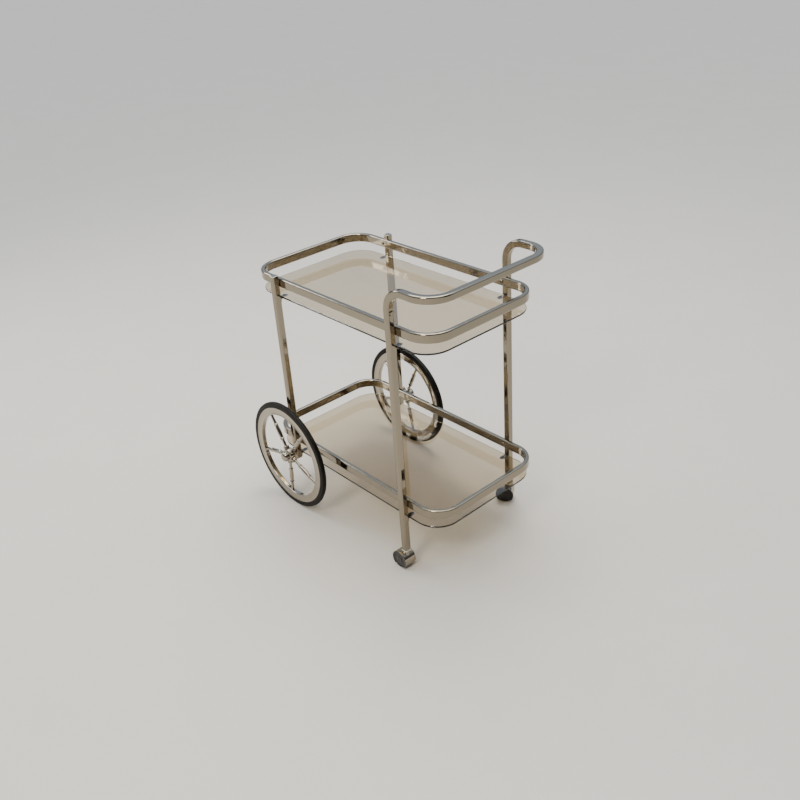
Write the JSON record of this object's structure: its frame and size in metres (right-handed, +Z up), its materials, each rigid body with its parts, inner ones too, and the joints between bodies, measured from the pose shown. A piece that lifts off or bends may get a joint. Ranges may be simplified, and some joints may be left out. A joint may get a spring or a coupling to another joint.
{
  "type": "bar cart",
  "caption": "Chrome bar cart with two railed glass shelves, a push handle, large spoked front wheels and hooded swivel casters at the back.",
  "frame": {"origin": "on the floor under the middle of the cart's bounding box", "axes": "+X towards the push handle, +Y to the right of a person pushing it, +Z up"},
  "size_m": [0.79, 0.524, 0.825],
  "materials": {
    "chrome_plate": "mirror-bright plate",
    "zinc_steel": "zinc plated",
    "shelf_glass": "polished, light bronze tint",
    "tyre_rubber": "smooth satin",
    "caster_plastic": "moulded, semi-gloss",
    "plug_plastic": "moulded",
    "nylon": "moulded",
    "clear_vinyl": "soft, clear"
  },
  "bodies": {
    "frame": {"bracket_screws": "chrome_plate", "front_left_leg": "chrome_plate", "front_left_leg_cap": "chrome_plate", "front_left_leg_plug": "plug_plastic", "front_right_leg": "chrome_plate", "front_right_leg_cap": "chrome_plate", "front_right_leg_plug": "plug_plastic", "handle_frame": "chrome_plate", "left_axle": "zinc_steel", "left_axle_nut": "zinc_steel", "left_axle_spacer": "chrome_plate", "left_caster_socket": "nylon", "lower_front_left_bracket": "chrome_plate", "lower_front_right_bracket": "chrome_plate", "lower_glass_shelf": "shelf_glass", "lower_rail": "chrome_plate", "lower_rear_left_bracket": "chrome_plate", "lower_rear_right_bracket": "chrome_plate", "lower_shelf_pads": "clear_vinyl", "rail_nuts": "zinc_steel", "rail_screws": "chrome_plate", "right_axle": "zinc_steel", "right_axle_nut": "zinc_steel", "right_axle_spacer": "chrome_plate", "right_caster_socket": "nylon", "upper_front_left_bracket": "chrome_plate", "upper_front_right_bracket": "chrome_plate", "upper_glass_shelf": "shelf_glass", "upper_rail": "chrome_plate", "upper_rear_left_bracket": "chrome_plate", "upper_rear_right_bracket": "chrome_plate", "upper_shelf_pads": "clear_vinyl"},
    "left_wheel": {"left_tyre": "tyre_rubber", "left_rim": "chrome_plate", "left_spokes": "chrome_plate", "left_hub": "chrome_plate", "left_hub_cap": "chrome_plate", "left_hub_bushes": "nylon"},
    "left_caster": {"left_caster_hood": "chrome_plate", "left_caster_stem": "zinc_steel", "left_caster_axle": "zinc_steel"},
    "left_caster_outer_disc": {"left_caster_outer_wheel": "caster_plastic"},
    "left_caster_inner_disc": {"left_caster_inner_wheel": "caster_plastic"},
    "right_wheel": {"right_tyre": "tyre_rubber", "right_rim": "chrome_plate", "right_spokes": "chrome_plate", "right_hub": "chrome_plate", "right_hub_cap": "chrome_plate", "right_hub_bushes": "nylon"},
    "right_caster": {"right_caster_hood": "chrome_plate", "right_caster_stem": "zinc_steel", "right_caster_axle": "zinc_steel"},
    "right_caster_outer_disc": {"right_caster_outer_wheel": "caster_plastic"},
    "right_caster_inner_disc": {"right_caster_inner_wheel": "caster_plastic"}
  },
  "joints": [
    {"name": "left_wheel_spin", "type": "hinge", "parent": "frame", "child": "left_wheel", "pos_m": [-0.227, -0.236, 0.168], "axis": [0, 1, 0], "continuous": true},
    {"name": "right_wheel_spin", "type": "hinge", "parent": "frame", "child": "right_wheel", "pos_m": [-0.227, 0.236, 0.168], "axis": [0, 1, 0], "continuous": true},
    {"name": "left_caster_swivel", "type": "hinge", "parent": "frame", "child": "left_caster", "pos_m": [0.23997, -0.20652, 0.055], "axis": [0, 0, 1], "continuous": true},
    {"name": "left_caster_outer_disc_spin", "type": "hinge", "parent": "left_caster", "child": "left_caster_outer_disc", "pos_m": [0.22848, -0.20652, 0.025], "axis": [0, 1, 0], "continuous": true},
    {"name": "left_caster_inner_disc_spin", "type": "hinge", "parent": "left_caster", "child": "left_caster_inner_disc", "pos_m": [0.22848, -0.20652, 0.025], "axis": [0, 1, 0], "continuous": true},
    {"name": "right_caster_swivel", "type": "hinge", "parent": "frame", "child": "right_caster", "pos_m": [0.23997, 0.20652, 0.055], "axis": [0, 0, 1], "continuous": true},
    {"name": "right_caster_outer_disc_spin", "type": "hinge", "parent": "right_caster", "child": "right_caster_outer_disc", "pos_m": [0.23055, 0.19993, 0.025], "axis": [-0.5736, 0.8192, 0], "continuous": true},
    {"name": "right_caster_inner_disc_spin", "type": "hinge", "parent": "right_caster", "child": "right_caster_inner_disc", "pos_m": [0.23055, 0.19993, 0.025], "axis": [-0.5736, 0.8192, 0], "continuous": true}
  ]
}
